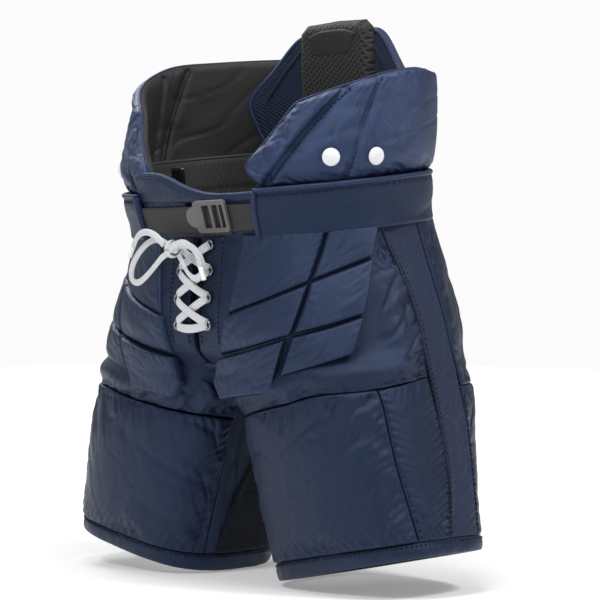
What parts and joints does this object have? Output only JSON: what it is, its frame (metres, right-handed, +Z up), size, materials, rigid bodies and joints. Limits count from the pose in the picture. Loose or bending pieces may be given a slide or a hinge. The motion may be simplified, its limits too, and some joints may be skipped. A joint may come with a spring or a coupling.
{
  "type": "hockey pants",
  "caption": "Goalkeeper's hockey pants with laced fly, buckled belt, padded kidney wings, floating spine pad, hip chevrons and two wide padded legs.",
  "frame": {"origin": "on the floor midway between the two legs, under the middle of the model's box", "axes": "+Z up, -Y the wearer's front, +X the wearer's left"},
  "size_m": [0.538, 0.332, 0.6441],
  "materials": {
    "navy_nylon": "woven nylon with a soft sheen",
    "navy_mesh": "ribbed stretch mesh",
    "navy_binding": "rolled woven binding",
    "black_mesh": "perforated spacer mesh",
    "black_lining": "brushed lining",
    "black_knit": "ribbed knit",
    "foam": "closed cell foam",
    "guard_plastic": "moulded polyethylene",
    "webbing": "ribbed webbing",
    "grey_plastic": "satin moulded plastic",
    "black_plastic": "satin moulded plastic",
    "white_plastic": "moulded button",
    "white_lace": "flat woven lace",
    "eyelet_metal": "painted rings",
    "patch": "smooth coated patch"
  },
  "bodies": {
    "trunk": {"aglets": "grey_plastic", "belt_sleeve_left": "navy_nylon", "belt_sleeve_right": "navy_nylon", "belt_webbing_left": "webbing", "belt_webbing_right": "webbing", "crotch_gusset": "navy_nylon", "eyelets": "eyelet_metal", "fly_lacing": "white_lace", "fly_placket_left": "navy_nylon", "fly_placket_right": "navy_nylon", "fly_tongue": "black_lining", "front_binding": "navy_binding", "hip_chevrons_left": "navy_nylon", "hip_chevrons_right": "navy_nylon", "hip_foam_left": "foam", "hip_foam_right": "foam", "hip_front_left": "navy_nylon", "hip_front_right": "navy_nylon", "hip_side_left": "navy_nylon", "hip_side_right": "navy_nylon", "inner_clip": "black_plastic", "inner_strap": "webbing", "lace_knot": "white_lace", "lace_loop_left": "white_lace", "lace_loop_right": "white_lace", "lace_tail_left": "white_lace", "lace_tail_right": "white_lace", "seat_panel": "navy_nylon", "tailbone_pad": "foam", "waist_band_left": "black_mesh", "waist_band_right": "black_mesh"},
    "left_leg": {"thigh_pad_left": "navy_nylon", "thigh_guard_left": "guard_plastic", "side_panel_left": "navy_nylon", "side_mesh_left": "navy_mesh", "back_panel_left": "navy_nylon", "inner_gusset_left": "black_knit", "hem_band_left": "navy_binding"},
    "left_wing": {"wing_shell_left": "navy_nylon", "wing_foam_left": "foam", "wing_lining_left": "black_lining", "suspender_buttons_left": "white_plastic"},
    "left_flap": {"hip_flap_left": "navy_nylon"},
    "right_leg": {"thigh_pad_right": "navy_nylon", "thigh_guard_right": "guard_plastic", "side_panel_right": "navy_nylon", "side_mesh_right": "navy_mesh", "back_panel_right": "navy_nylon", "inner_gusset_right": "black_knit", "hem_band_right": "navy_binding"},
    "right_wing": {"wing_shell_right": "navy_nylon", "wing_foam_right": "foam", "wing_lining_right": "black_lining", "suspender_buttons_right": "white_plastic"},
    "right_flap": {"hip_flap_right": "navy_nylon"},
    "spine_pad": {"spine_plate": "navy_mesh", "spine_foam": "foam", "spine_pillow": "black_mesh", "spine_patch": "patch"},
    "lock": {"ladder_lock": "grey_plastic"}
  },
  "joints": [
    {"name": "left_leg_flex", "type": "hinge", "parent": "trunk", "child": "left_leg", "pos_m": [0.13, -0.09, 0.28], "axis": [-1, 0, 0], "range_deg": [-5, 20]},
    {"name": "left_flap_lift", "type": "hinge", "parent": "trunk", "child": "left_flap", "pos_m": [0.08389, -0.13499, 0.25677], "axis": [-0.97, -0.0966, -0.223], "range_deg": [-8, 31]},
    {"name": "left_wing_flare", "type": "hinge", "parent": "trunk", "child": "left_wing", "pos_m": [0.186, -0.001, 0.447], "axis": [0, 1, 0], "range_deg": [0, 15]},
    {"name": "right_leg_flex", "type": "hinge", "parent": "trunk", "child": "right_leg", "pos_m": [-0.13, -0.09, 0.28], "axis": [-1, 0, 0], "range_deg": [-5, 20]},
    {"name": "right_flap_lift", "type": "hinge", "parent": "trunk", "child": "right_flap", "pos_m": [-0.08389, -0.13499, 0.25677], "axis": [-0.97, 0.0966, 0.223], "range_deg": [-8, 31]},
    {"name": "right_wing_flare", "type": "hinge", "parent": "trunk", "child": "right_wing", "pos_m": [-0.186, -0.001, 0.447], "axis": [0, -1, 0], "range_deg": [0, 15]},
    {"name": "spine_pad_lean", "type": "hinge", "parent": "trunk", "child": "spine_pad", "pos_m": [0, 0.087, 0.492], "axis": [1, 0, 0], "range_deg": [0, 14]},
    {"name": "ladder_lock_tilt", "type": "hinge", "parent": "trunk", "child": "lock", "pos_m": [0.05638, -0.13878, 0.40365], "axis": [0.0234, -0.338, 0.9409], "range_deg": [0, 30]}
  ],
  "couplings": [
    {"joint": "left_flap_lift", "follows": "left_leg_flex", "ratio": 1.5},
    {"joint": "right_flap_lift", "follows": "right_leg_flex", "ratio": 1.5}
  ]
}
